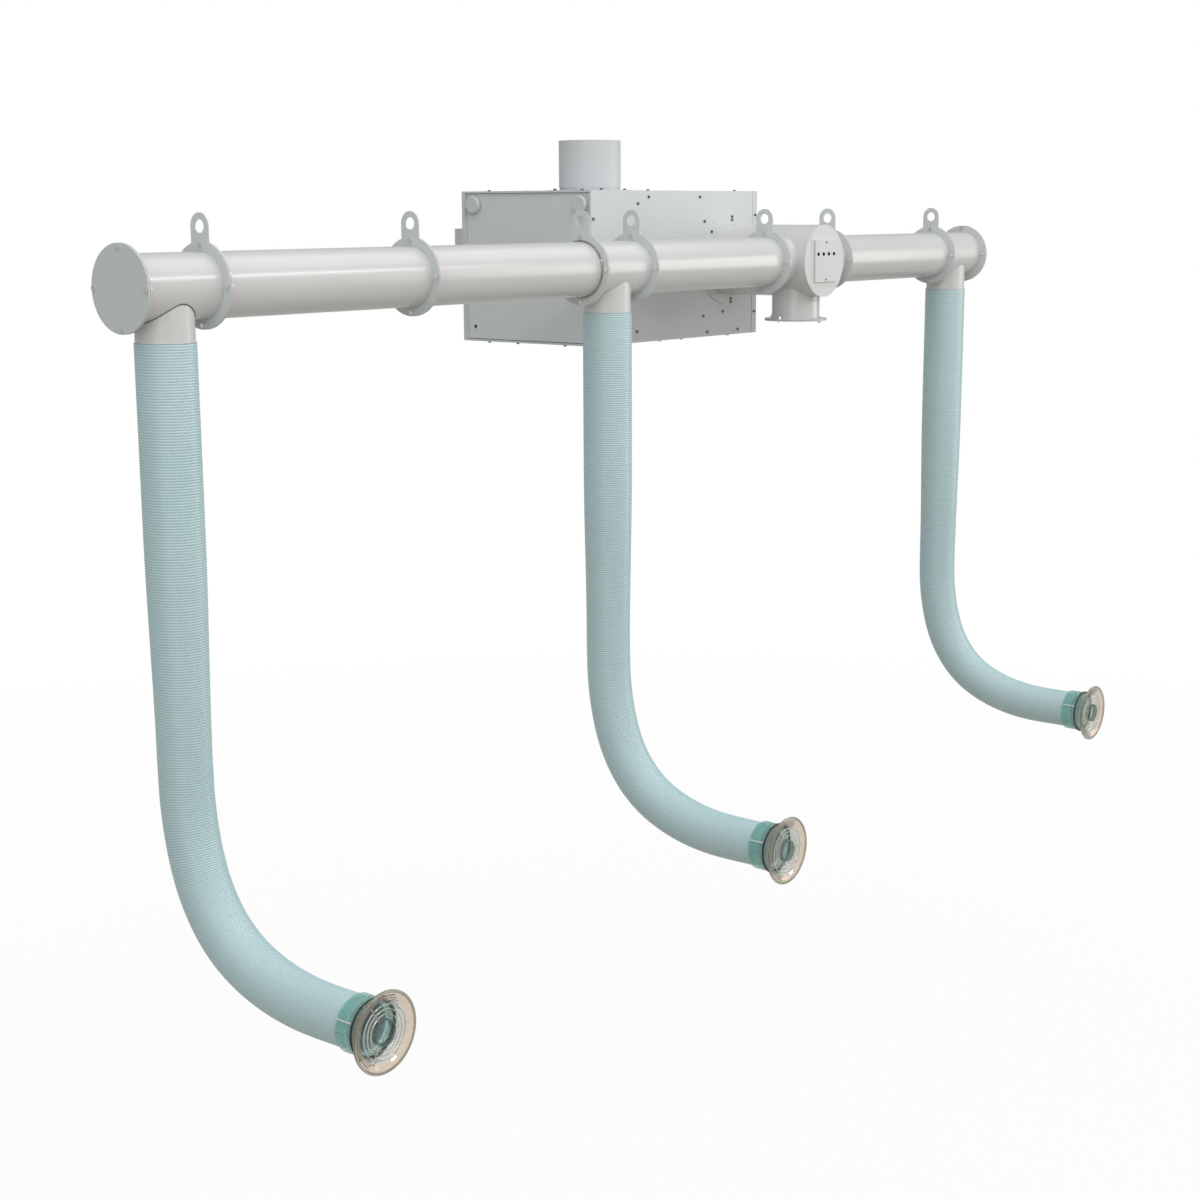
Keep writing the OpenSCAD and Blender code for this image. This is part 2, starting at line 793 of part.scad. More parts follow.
module exhaust_collar() {
    neck_z = sheet + exhaust_neck_h;
    color(paint) place() difference() {
        translate([exhaust_x, exhaust_y, cab_z1 - sheet]) difference() {
            union() {
                translate([0, 0, neck_z]) cylinder(r = exhaust_r, h = exhaust_h - exhaust_neck_h);
                cylinder(r = exhaust_r - exhaust_neck_in, h = neck_z + exhaust_neck_lap);
                translate([0, 0, sheet]) cylinder(r = exhaust_r + exhaust_flange, h = exhaust_flange_t);
            }
            translate([0, 0, neck_z + exhaust_neck_lap])
                cylinder(r = exhaust_r - exhaust_wall, h = exhaust_h + overrun);
            translate([0, 0, -overrun])
                cylinder(r = exhaust_r - exhaust_neck_in - exhaust_wall, h = sheet + exhaust_h);
        }
        exhaust_sites() screw_hole();
    }
}

module service_door() {
    dy = door_y1 - door_y0;
    dz = door_z1 - door_z0;
    port = [cab_y1 - port_in, cab_z0 + port_in];
    pin_l = pivot_reach - pivot_end_gap + door_side_gap + sheet;
    color(paint) place() difference() {
        union() {
            difference() {
                translate([door_x, door_y0, door_z0]) cube([door_deep, dy, dz]);
                translate([door_x + sheet, door_y0 + sheet, door_z0 + sheet])
                    cube([door_deep, dy - 2*sheet, dz - 2*sheet]);
            }
            translate([door_x - port_rim_t, port[0], port[1]]) bar_x(0, port_rim_t + sheet/2,
                port_d/2 + port_rim);
            for (y = [door_y0 + sheet - pin_l, door_y1 - sheet])
                translate([pivot_x, 0, pivot_z]) bar_y(y, y + pin_l, pivot_d/2);
        }
        knob_sites() bar_x(door_x - overrun, door_x + sheet + overrun, stud_d/2 + stud_gap);
        translate([door_x - port_rim_t - overrun, port[0], port[1]])
            bar_x(0, port_rim_t + sheet + 2*overrun, port_d/2);
    }
}

// Foam strip on the back of the door, pressed against the frame
module door_gasket() {
    y0 = door_y0 + foam_inset;
    y1 = door_y1 - foam_inset;
    z0 = door_z0 + pivot_in;
    z1 = door_z1 - foam_inset;
    color(dark) place() plate_x(door_x + door_deep, door_foam) difference() {
        translate([y0, z0]) square([y1 - y0, z1 - z0]);
        translate([cab_y0 + frame_w, cab_z0 + frame_w]) square([frame_d, cab_h - 2*frame_w]);
    }
}

// Door knob with a stud through the door and a clip that keeps it on
module knob(y) {
    color(paint) place() translate([0, y, door_z1 - knob_in]) {
        face = door_x - knob_lift - knob_h;
        boss = door_x - knob_lift - knob_boss_h;
        clip = door_x + sheet + knob_lift;
        translate([face, 0, 0]) rotate([0, 90, 0]) cylinder(r1 = knob_d/2 - knob_edge, r2 = knob_d/2,
            h = knob_edge);
        bar_x(face + knob_edge, boss, knob_d/2);
        bar_x(boss, door_x - knob_lift, knob_d/2*knob_boss_share);
        bar_x(boss, frame_x + sheet + stud_past, stud_d/2);
        bar_x(clip, clip + knob_clip_t, stud_d/2 + knob_clip);
    }
}

// Electrical box on the cabinet's rear, with its cable gland underneath
module control_box() {
    x = cab_x0 + box_in;
    z = cab_z1 - box_down - box_h;
    color(paint) place() difference() {
        union() {
            translate([x, cab_y1, z]) cube([box_w, box_deep, box_h]);
            translate([x + gland_in, cab_y1 + box_deep/2, z - gland_l])
                cylinder(r = gland_r, h = gland_l + box_wall/2);
        }
        translate([x + box_wall, cab_y1 + box_wall, z + box_wall])
            cube([box_w - 2*box_wall, box_deep - 2*box_wall, box_h - 2*box_wall]);
        translate([x + gland_in, cab_y1 + box_deep/2, z - gland_l - overrun])
            cylinder(d = gland_bore_d, h = gland_l + box_wall + 2*overrun);
    }
}

module filter_rails() {
    l = filter_x1 - filter_x0;
    color(steel) place() difference() {
        for (side = [0, 1]) {
            w = side == 0 ? rail_w : rail_w + door_rear_rim - door_rim;
            y = side == 0 ? cab_y0 + sheet : cab_y1 - sheet - w;
            leg = side == 0 ? cab_y0 + sheet : cab_y1 - sheet - rail_t;
            translate([filter_x0, y, rail_z]) cube([l, w, rail_t]);
            translate([filter_x0, leg, rail_z - rail_leg]) cube([l, rail_t, rail_leg + rail_t]);
        }
        front_sites() screw_hole();
    }
}

module filter_frame_box(z, h) {
    dx = filter_x1 - filter_x0;
    dy = filter_y1 - filter_y0;
    translate([filter_x0, filter_y0, z]) difference() {
        cube([dx, dy, h]);
        translate([filter_frame, filter_frame, -overrun])
            cube([dx - 2*filter_frame, dy - 2*filter_frame, h + 2*overrun]);
    }
}

module prefilter() {
    color(paper) place() {
        filter_frame_box(prefilter_z, prefilter_h);
        translate([filter_x0 + filter_frame/2, filter_y0 + filter_frame/2, prefilter_z + mat_inset])
            cube([filter_x1 - filter_x0 - filter_frame, filter_y1 - filter_y0 - filter_frame,
                prefilter_h - 2*mat_inset]);
    }
}

// Pleated pack: a zigzag wall that runs the length of the frame
module main_filter() {
    pack_w = filter_y1 - filter_y0 - filter_frame;
    pack_h = filter_h - 2*mat_inset - pleat_t;
    step = pack_w/(2*pleats);
    function zig(k) = [k*step, k % 2 == 0 ? 0 : pack_h];
    low = [for (k = [0 : 2*pleats]) zig(k)];
    high = [for (k = [2*pleats : -1 : 0]) zig(k) + [0, pleat_t]];
    color(paper) place() {
        filter_frame_box(filter_z, filter_h);
        translate([0, filter_y0 + filter_frame/2, filter_z + mat_inset])
            plate_x(filter_x0 + filter_frame/2, filter_x1 - filter_x0 - filter_frame)
                polygon(concat(low, high));
    }
}

// Wall between the inlet side and the fan side; the air passes under it to the filters
module plenum_partition() {
    y = cab_y0 + sheet;
    color(paint) place() {
        translate([partition_x, y, rail_z]) cube([sheet, cab_d - 2*sheet, cab_z1 - 2*sheet - rail_z]);
        for (z = [rail_z, cab_z1 - 3*sheet]) translate([partition_x, y, z])
            cube([top_fold, cab_d - 2*sheet, sheet]);
    }
}

// Deck above the filters with the flared inlet of the fan
module fan_deck() {
    y = cab_y0 + sheet;
    dy = cab_d - 2*sheet;
    color(paint) place() difference() {
        union() {
            translate([filter_x0, y, deck_z]) cube([partition_x - filter_x0, dy, sheet]);
            for (fy = [y, y + dy - sheet])
                translate([filter_x0, fy, deck_z]) cube([partition_x - filter_x0, sheet, deck_fold]);
            translate([exhaust_x, exhaust_y, deck_z]) cylinder(r1 = fan_inlet_r + cone_flare,
                r2 = fan_inlet_r, h = sheet + cone_h);
        }
        translate([exhaust_x, exhaust_y, deck_z - overrun]) cylinder(
            r1 = fan_inlet_r + cone_flare - sheet, r2 = fan_inlet_r - sheet,
            h = sheet + cone_h + 2*overrun);
    }
}

module motor_bridge() {
    foot_z = deck_z + sheet;
    leg_h = motor_top - foot_z;
    color(steel) place() translate([exhaust_x, exhaust_y - bridge_w/2, 0]) {
        translate([-bridge_x - bridge_t, 0, motor_top])
            cube([2*(bridge_x + bridge_t), bridge_w, bridge_t]);
        for (side = [-1, 1]) {
            leg_x = side < 0 ? -bridge_x - bridge_t : bridge_x;
            foot_x = side < 0 ? -bridge_x - bridge_foot : bridge_x;
            translate([leg_x, 0, foot_z]) cube([bridge_t, bridge_w, leg_h + bridge_t]);
            translate([foot_x, 0, foot_z]) cube([bridge_foot, bridge_w, bridge_t]);
        }
    }
}

module fan_motor() {
    color(dark) place() translate([exhaust_x, exhaust_y, motor_z]) difference() {
        cylinder(d = motor_d, h = motor_h);
        translate([0, 0, -overrun]) cylinder(d = shaft_d + 2*shaft_gap, h = motor_h - bridge_t + overrun);
    }
}

// One backward-curved blade, an arc from the eye to the rim
module blade() {
    r0 = fan_eye_r;
    r1 = impeller_d/2 - blade_t;
    steps = 6;
    function spot(k, side) = let (u = k/steps, r = r0 + u*(r1 - r0) , a = blade_sweep*u*u
            + side*blade_t/2/r*180/PI) [r*cos(a), r*sin(a)];
    linear_extrude(impeller_h - fan_plate_t)
        polygon(concat([for (k = [0 : steps]) spot(k, 1)], [for (k = [steps : -1 : 0]) spot(k, -1)]));
}

module impeller() {
    color(dark) place() translate([exhaust_x, exhaust_y, impeller_z]) {
        difference() {
            union() {
                translate([0, 0, impeller_h - fan_plate_t]) cylinder(d = impeller_d, h = fan_plate_t);
                cylinder(d = impeller_d, h = fan_plate_t);
            }
            translate([0, 0, -overrun]) cylinder(r = fan_eye_r, h = fan_plate_t + 2*overrun);
        }
        translate([0, 0, fan_plate_t/2]) for (k = [0 : blade_count - 1])
            rotate([0, 0, k*360/blade_count]) blade();
        translate([0, 0, impeller_h/2]) cylinder(r = fan_hub_r, h = impeller_h/2);
        translate([0, 0, impeller_h/2])
            cylinder(d = shaft_d, h = impeller_h/2 + motor_lift + motor_h - 2*bridge_t);
    }
}

// Places along the hose route: a smooth curve through its points, by length of chord
function chord(i) = i == 0 ? 0 : chord(i - 1) + norm(route[i] - route[i - 1]);
chords = [for (i = [0 : len(route) - 1]) chord(i)];
function slope(i) = let (a = max(i - 1, 0), b = min(i + 1, len(route) - 1))
    (route[b] - route[a])/(chords[b] - chords[a]);
function stretch_at(s, i = 0) = i >= len(route) - 2 || s < chords[i + 1] ? i : stretch_at(s, i + 1);
function spot_at(s) = let (i = stretch_at(s), l = chords[i + 1] - chords[i], t = (s - chords[i])/l)
    (2*t*t*t - 3*t*t + 1)*route[i] + (t*t*t - 2*t*t + t)*l*slope(i)
    + (3*t*t - 2*t*t*t)*route[i + 1] + (t*t*t - t*t)*l*slope(i + 1);
function heading_at(s) = let (i = stretch_at(s), l = chords[i + 1] - chords[i], t = (s - chords[i])/l)
    (6*t*t - 6*t)/l*route[i] + (3*t*t - 4*t + 1)*slope(i)
    + (6*t - 6*t*t)/l*route[i + 1] + (3*t*t - 2*t)*slope(i + 1);
// The hung hose is stretched by its own weight, so it is slimmer from halfway down
function slim_share(s) = let (drop = chords[split_point], from = slim_from_share*drop)
    min(max((s - from)/(slim_to_share*drop - from), 0), 1);
function slimness(s) = let (t = slim_share(s)) 1 - (1 - hose_slim)*t*t*(3 - 2*t);
function hose_ring(s, wide) = let (c = spot_at(s), h = heading_at(s), n = [-h[1], h[0]]/norm(h),
    r = wide*slimness(s))
    [for (k = [0 : hose_sides - 1]) let (a = (k + 0.5)*360/hose_sides)
        [r*cos(a), c[0] + r*sin(a)*n[0], c[1] + r*sin(a)*n[1]]];

// Triangles of the skin between ring rows, which starts at point number base
function skin(rows, base, inward) = [for (i = [0 : rows - 2], k = [0 : hose_sides - 1], half = [0, 1])
    let (a = base + i*hose_sides + k, b = base + i*hose_sides + (k + 1) % hose_sides,
        c = a + hose_sides, d = b + hose_sides, f = half == 0 ? [a, b, d] : [a, d, c])
    inward ? [f[0], f[2], f[1]] : f];
function end_face(outer, inner, flip) = [for (k = [0 : hose_sides - 1], half = [0, 1])
    let (n = (k + 1) % hose_sides, f = half == 0 ? [outer + k, inner + k, inner + n]
        : [outer + k, inner + n, outer + n])
    flip ? [f[0], f[2], f[1]] : f];

// Ribbed hose from s0 to s1 along the route: each rib is a crest ring and a root ring
module hose(s0, s1, ribs, bore_rings) {
    rows = 2*ribs + 1;
    outer = [for (i = [0 : rows - 1]) each hose_ring(s0 + (s1 - s0)*i/(rows - 1),
        i % 2 == 0 ? hose_r : rib_root_r)];
    bore = [for (i = [0 : bore_rings - 1]) each hose_ring(s0 + (s1 - s0)*i/(bore_rings - 1),
        hose_bore_r)];
    base = rows*hose_sides;
    last = base + (bore_rings - 1)*hose_sides;
    polyhedron(points = concat(outer, bore), faces = concat(skin(rows, 0, false),
        skin(bore_rings, base, true), end_face(0, base, false),
        end_face(base - hose_sides, last, true)));
}

module hose_drop(k) {
    color(teal) place() translate([hose_axes[k], 0, 0])
        hose(swivel_gap, chords[split_point], drop_ribs, drop_bore_rings);
}

module hose_bend(k) {
    color(teal) place() translate([hose_axes[k], 0, 0])
        hose(chords[split_point], chords[len(route) - 1], bend_ribs, bend_bore_rings);
}

// Clear cuff round the hose end, with a raised rib along it
module nozzle_cuff(k) {
    color(clear) place() translate([hose_axes[k], 0, hose_end[1]]) difference() {
        union() {
            bar_y(cuff_front, cuff_back, cuff_r);
            translate([-cuff_r - cuff_rib_h, cuff_front, -cuff_rib_w/2])
                cube([cuff_wall + cuff_rib_h, cuff_l, cuff_rib_w]);
        }
        bar_y(cuff_front - overrun, cuff_back + overrun, cuff_bore_r);
    }
}

// Bell outline: half a turn's profile as radius and distance forward of the bell's back
function flare(u) = cuff_r + (bell_d/2 - rim_r - cuff_r)*(1 - cos(90*u));
bell_outer = concat([[tail_r, -tail_l - seal_gap], [tail_r, 0], [cuff_r, 0], [cuff_r, neck_l]],
    [for (k = [1 : flare_steps]) [flare(k/flare_steps),
        neck_l + (bell_l - neck_l)*sin(90*k/flare_steps)]]);
bell_inner = [for (k = [flare_steps : -1 : 1]) [flare(k/flare_steps) - bell_wall,
        neck_l + (bell_l - neck_l)*sin(90*k/flare_steps) + (k == flare_steps ? 0 : bell_wall/4)]];

module nozzle(k) {
    color(clear) place() translate([hose_axes[k], bell_back, hose_end[1]]) rotate([90, 0, 0]) {
        rotate_extrude() polygon(concat(bell_outer, bell_inner, [[cuff_r - bell_wall, neck_l],
            [tail_r - bell_wall, 0], [tail_r - bell_wall, -tail_l - seal_gap]]));
        rotate_extrude() translate([bell_d/2 - rim_r, bell_l - rim_r]) circle(r = rim_r);
        grille();
    }
}

// How far out the flare is at a distance forward of the bell's back
function flare_at(h) = flare(asin((h - neck_l)/(bell_l - neck_l))/90);

// Grille in the bell's mouth: a short middle tube, rings and spokes
module grille() {
    inner = grille_hub_r;
    back = bell_l - grille_deep;
    step = (flare_at(back) - bell_wall - inner)/(grille_rings + 1);
    spoke_r = flare_at(back + grille_bar/2) - bell_wall/2;
    for (i = [1 : grille_rings]) translate([0, 0, back]) difference() {
        cylinder(r = inner + i*step + grille_bar/2, h = grille_bar);
        translate([0, 0, -overrun]) cylinder(r = inner + i*step - grille_bar/2, h = grille_bar
            + 2*overrun);
    }
    translate([0, 0, bell_l - grille_hub_l]) difference() {
        cylinder(r = inner, h = grille_hub_l);
        translate([0, 0, -overrun]) cylinder(r = inner - grille_bar, h = grille_hub_l + 2*overrun);
    }
    for (i = [0 : grille_spokes - 1]) rotate([0, 0, grille_turn + i*360/grille_spokes])
        translate([inner - grille_bar/2, -grille_bar/2, back])
            cube([spoke_r - inner + grille_bar/2, grille_bar, grille_bar]);
}

main_duct(joint_1);  // main_duct_a
main_duct(joint_2);  // main_duct_b
main_duct(joint_4);  // main_duct_c
main_duct(joint_6);  // main_duct_d
tee(tee_left_x);  // tee_left
tee(0);  // tee_middle
tee(tee_right_x, true);  // tee_right
spigot(tee_left_x);  // spigot_left
spigot(0);  // spigot_middle
spigot(tee_right_x);  // spigot_right
hanger_ring(0);  // hanger_ring_1
hanger_ring(1);  // hanger_ring_2
hanger_ring(2);  // hanger_ring_3
hanger_ring(3);  // hanger_ring_4
hanger_ring(4);  // hanger_ring_5
hanger_ring(5);  // hanger_ring_6
hanger_ring(6);  // hanger_ring_7
flange_gaskets();
flange_screws();
end_caps();
hub_body();
hub_front_plate();
control_panel();
control_board();
button(0);  // button_1
button(1);  // button_2
button(2);  // button_3
button(3);  // button_4
blanking_plate();
inlet_collar();
cabinet_shell();
cabinet_top();
end_cover();
exhaust_collar();
service_door();
door_gasket();
knob(door_y0 + knob_in);  // knob_front
knob(door_y1 - knob_in);  // knob_rear
control_box();
sheet_screws();
filter_rails();
prefilter();
main_filter();
plenum_partition();
fan_deck();
motor_bridge();
fan_motor();
impeller();
hose_drop(0);  // hose_drop_left
hose_drop(1);  // hose_drop_middle
hose_drop(2);  // hose_drop_right
hose_bend(0);  // hose_bend_left
hose_bend(1);  // hose_bend_middle
hose_bend(2);  // hose_bend_right
nozzle_cuff(0);  // nozzle_cuff_left
nozzle_cuff(1);  // nozzle_cuff_middle
nozzle_cuff(2);  // nozzle_cuff_right
nozzle(0);  // nozzle_left
nozzle(1);  // nozzle_middle
nozzle(2);  // nozzle_right
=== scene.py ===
import math

import bpy
from mathutils import Matrix, Vector


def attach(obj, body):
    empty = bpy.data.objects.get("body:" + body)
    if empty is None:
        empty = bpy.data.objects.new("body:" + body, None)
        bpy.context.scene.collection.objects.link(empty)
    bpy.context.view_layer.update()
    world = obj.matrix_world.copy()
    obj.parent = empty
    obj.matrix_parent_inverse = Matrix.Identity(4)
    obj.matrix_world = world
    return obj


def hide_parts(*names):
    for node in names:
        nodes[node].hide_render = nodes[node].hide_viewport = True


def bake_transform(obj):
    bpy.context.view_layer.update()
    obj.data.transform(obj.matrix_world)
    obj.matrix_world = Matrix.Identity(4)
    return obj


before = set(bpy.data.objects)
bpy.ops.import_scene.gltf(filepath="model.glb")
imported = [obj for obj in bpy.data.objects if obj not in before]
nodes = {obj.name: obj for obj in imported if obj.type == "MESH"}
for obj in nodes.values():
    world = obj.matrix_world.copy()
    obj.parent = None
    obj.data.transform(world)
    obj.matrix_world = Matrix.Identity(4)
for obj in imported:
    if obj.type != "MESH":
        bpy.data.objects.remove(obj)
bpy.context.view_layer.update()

# The model's origin is hanger eye 4; these bring places on the duct's axis and the middle tee to it
EYE_X = 0.0915
EYE_Z = 0.1085
ARMS = {"left": -1.294, "middle": 0.0, "right": 1.592}


def at(x, y, z):
    """A place measured from the duct's axis at the middle tee, in the model's own frame."""
    return Vector((x - EYE_X, y, z - EYE_Z))


# Camera: where the photograph was taken from, found from the flanges, the cabinet and the hoses
CAMERA_AT = (-3.62238, -2.90446, 0.13926)
CAMERA_YAW = 0.68012
CAMERA_DOWN = 0.19647
CAMERA_ROLL = -0.00434
CAMERA_LENS = 59.185
SENSOR = 36.0
SIGHT_END = 60


def make_camera():
    data = bpy.data.cameras.new("camera")
    data.lens = CAMERA_LENS
    data.sensor_width = SENSOR
    data.clip_end = SIGHT_END
    cam = bpy.data.objects.new("camera", data)
    bpy.context.scene.collection.objects.link(cam)
    level = math.cos(CAMERA_DOWN)
    ahead = Vector((math.cos(CAMERA_YAW) * level, math.sin(CAMERA_YAW) * level, -math.sin(CAMERA_DOWN)))
    right = Vector((math.sin(CAMERA_YAW), -math.cos(CAMERA_YAW), 0))
    up = right.cross(ahead)
    turned_right = right * math.cos(CAMERA_ROLL) + up * math.sin(CAMERA_ROLL)
    turned_up = up * math.cos(CAMERA_ROLL) - right * math.sin(CAMERA_ROLL)
    axes = Matrix((turned_right, turned_up, -ahead)).transposed()
    cam.matrix_world = Matrix.Translation(at(*CAMERA_AT)) @ axes.to_4x4()
    bpy.context.scene.camera = cam


make_camera()

# Hoses: the route of each arm in metres, as Y and Z from the duct's axis
ROUTE = [(0, -0.1), (0, -0.3), (0, -0.5), (0, -0.7), (0, -0.82), (0, -0.9), (-0.003, -0.98),
         (-0.014, -1.052), (-0.032, -1.115), (-0.058, -1.168), (-0.092, -1.212), (-0.134, -1.247),
         (-0.186, -1.274), (-0.246, -1.293), (-0.305, -1.303), (-0.356, -1.306), (-0.42, -1.306),
         (-0.475, -1.306)]
HOSE_CREST = 0.0576
HOSE_BORE = 0.0535
HOSE_GROOVE = 0.0010
HOSE_PITCH = 0.0052
TOP_GAP = 0.0003
# How much slimmer the hung hose gets, and the stretches of the route where it does
HOSE_SLIM = 0.91
SLIM_FROM = 0.36
SLIM_TO = 0.78
HOSE_NIP = 0.025
NIP_FROM = 1.25
NIP_TO = 1.50
# The hose's mesh: sides round it, how deep each row in one turn of a rib lies, how far the bore's rows
# are apart, and the places and edges that count as one
HOSE_SIDES = 48
RIB_ROWS = (0, 0.35, 1, 0.35)
BORE_STEP = 0.012
BORE_TONE = 0.5
SAME_PLACE = 1e-7
MERGE_WITHIN = 0.00002
HOSE_SMOOTH = math.radians(60)


class Route:
    """A smooth curve through the route's points, measured along its chords."""

    def __init__(self, points):
        self.points = [Vector(p) for p in points]
        self.marks = [0.0]
        for a, b in zip(self.points, self.points[1:]):
            self.marks.append(self.marks[-1] + (b - a).length)
        last = len(points) - 1
        self.slopes = []
        for i in range(last + 1):
            a, b = max(i - 1, 0), min(i + 1, last)
            self.slopes.append((self.points[b] - self.points[a]) / (self.marks[b] - self.marks[a]))

    def length(self):
        return self.marks[-1]

    def spot(self, s):
        """Place and heading at a distance along the route."""
        i = 0
        while i < len(self.points) - 2 and s >= self.marks[i + 1]:
            i += 1
        span = self.marks[i + 1] - self.marks[i]
        t = (s - self.marks[i]) / span
        p, q, m, n = self.points[i], self.points[i + 1], self.slopes[i], self.slopes[i + 1]
        place = ((2 * t ** 3 - 3 * t * t + 1) * p + (t ** 3 - 2 * t * t + t) * span * m
                 + (3 * t * t - 2 * t ** 3) * q + (t ** 3 - t * t) * span * n)
        heading = ((6 * t * t - 6 * t) / span * p + (3 * t * t - 4 * t + 1) * m
                   + (6 * t - 6 * t * t) / span * q + (3 * t * t - 2 * t) * n)
        return place, heading.normalized()


route = Route(ROUTE)


def eased(s, low, high):
    """Goes smoothly from 0 to 1 between two distances along the route."""
    share = min(max((s - low) / (high - low), 0), 1)
    return share * share * (3 - 2 * share)


def slimness(s):
    """The share of its width that the hose keeps, as its own weight and then the cuff draw it in."""
    return 1 - (1 - HOSE_SLIM) * eased(s, SLIM_FROM, SLIM_TO) - HOSE_NIP * eased(s, NIP_FROM, NIP_TO)


def hose_ring_point(x, s, angle, radius):
    """A place on the hose's skin, by distance along the route and by angle round it."""
    radius *= slimness(s)
    place, heading = route.spot(s)
    side = Vector((-heading[1], heading[0]))
    across = radius * math.sin(angle)
    return at(x + radius * math.cos(angle), place[0] + across * side[0], place[1] + across * side[1])


def make_hose(side, x):
    """One spirally ribbed hose with its bore, from the spigot's shoulder to its end in the cuff."""
    start, end = TOP_GAP, route.length()
    turn = len(RIB_ROWS)
    step = HOSE_PITCH / turn
    rows = int((end - start) / step) + turn + 1
    verts, faces, groove, along = [], [], [], []
    for i in range(rows + 1):
        for j in range(HOSE_SIDES + 1):
            s = start + (i - turn) * step + HOSE_PITCH * j / HOSE_SIDES
            inside = min(max(s, start), end)
            depth = RIB_ROWS[i % turn]
            verts.append(hose_ring_point(x, inside, 2 * math.pi * j / HOSE_SIDES,
                                         HOSE_CREST - depth * HOSE_GROOVE))
            groove.append(depth)
            along.append(inside)
    wide = HOSE_SIDES + 1
    for i in range(rows):
        for j in range(HOSE_SIDES):
            a = i * wide + j
            quad = (a, a + 1, a + 1 + wide, a + wide)
            reached = [along[corner] for corner in quad]
            if max(reached) - min(reached) > SAME_PLACE:
                faces.append(quad)
    base = len(verts)
    bore_rows = int((end - start) / BORE_STEP)
    for i in range(bore_rows + 1):
        s = start + (end - start) * i / bore_rows
        for j in range(HOSE_SIDES):
            verts.append(hose_ring_point(x, s, 2 * math.pi * j / HOSE_SIDES, HOSE_BORE))
            groove.append(BORE_TONE)
    for i in range(bore_rows):
        for j in range(HOSE_SIDES):
            a = base + i * HOSE_SIDES + j
            b = base + i * HOSE_SIDES + (j + 1) % HOSE_SIDES
            faces.append((a, a + HOSE_SIDES, b + HOSE_SIDES, b))
    # Flat ends between the bore and a ring as wide as the ribs
    for s, row, outward in ((start, 0, False), (end, bore_rows, True)):
        rim = len(verts)
        for j in range(HOSE_SIDES):
            verts.append(hose_ring_point(x, s, 2 * math.pi * j / HOSE_SIDES, HOSE_CREST))
            groove.append(0)
        for j in range(HOSE_SIDES):
            k = (j + 1) % HOSE_SIDES
            inner = base + row * HOSE_SIDES
            quad = (rim + j, rim + k, inner + k, inner + j)
            faces.append(quad if not outward else tuple(reversed(quad)))
    mesh = bpy.data.meshes.new("flexible_hose_" + side)
    mesh.from_pydata(verts, [], faces)
    mesh.update()
    tone = mesh.attributes.new("groove", "FLOAT", "POINT")
    tone.data.foreach_set("value", groove)
    hose = bpy.data.objects.new("flexible_hose_" + side, mesh)
    bpy.context.scene.collection.objects.link(hose)
    pick(hose)
    bpy.ops.object.mode_set(mode="EDIT")
    bpy.ops.mesh.select_all(action="SELECT")
    bpy.ops.mesh.remove_doubles(threshold=MERGE_WITHIN)
    bpy.ops.mesh.normals_make_consistent(inside=False)
    bpy.ops.object.mode_set(mode="OBJECT")
    bpy.ops.object.shade_smooth_by_angle(angle=HOSE_SMOOTH)
    return hose


def pick(obj):
    """Selects only this object, and makes it active."""
    if bpy.context.object and bpy.context.object.mode != "OBJECT":
        bpy.ops.object.mode_set(mode="OBJECT")
    bpy.ops.object.select_all(action="DESELECT")
    obj.select_set(True)
    bpy.context.view_layer.objects.active = obj


hoses = {}
for side, x in ARMS.items():
    hose = make_hose(side, x)
    hoses[side] = hose
    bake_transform(hose)
    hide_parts("hose_drop_" + side, "hose_bend_" + side)


# Materials
WHITE = (1, 1, 1)
# The part of a noise texture over which a finish goes from its low tone to its high one
MOTTLE_LOW = 0.3
MOTTLE_HIGH = 0.7
# How far tones and roughness stray from the finish's own, as shares of it
COAT_POLISH = (0.92, 1.1)
METAL_POLISH = (0.8, 1.25)
CLEAR_POLISH = (0.6, 1.4)
METAL_DULL = 0.86
CUFF_DULL = 0.93
CLOTH_DULL = 0.8
RUBBER_DULL = 0.8
RUBBER_PALE = 1.15
# Powder coat
COAT_BLUR = 0.22
COAT_PEEL = 0.35
# Rubber and cloth
RUBBER_GRAIN = 0.5
CLOTH_GRAIN = 0.6
CLOTH_DEPTH = 0.0006
CLOTH_CELL = 0.7
CLOTH_ROUGHNESS = 0.95
# Clear plastics: where a wall counts as seen along its length, tints by distance from the bell's axis,
# the cooler tint of the bell's outside and the headings over which it comes in, how dark an edge is
PLASTIC_IOR = 1.49
CLARITY = 0.80
SIDE_ON = 0.5
EDGE_FROM = 0.6
EDGE_TO = 0.97
BELL_REACH = 0.08
BELL_TINTS = [(0.0225, (0.40, 0.46, 0.46)), (0.0255, (0.40, 0.46, 0.46)), (0.0285, (0.88, 0.82, 0.76)),
              (0.050, (0.86, 0.80, 0.73)), (0.0535, (0.80, 0.84, 0.80)), (0.0570, (0.80, 0.80, 0.74)),
              (0.061, (0.82, 0.69, 0.59)), (0.072, (0.76, 0.64, 0.54)), (0.0755, (0.42, 0.42, 0.35))]
BELL_OUTSIDE = (0.80, 1.05, 1.06)
OUTSIDE_FROM = 0.02
OUTSIDE_TO = 0.12
# The edge colours: partly the longer path through a wall seen along its length, partly a painted dark
# reflection
BELL_EDGE_DEPTH_AND_REFLECTION = (0.34, 0.36, 0.30)
CUFF_EDGE_DEPTH_AND_REFLECTION = (0.45, 0.52, 0.50)
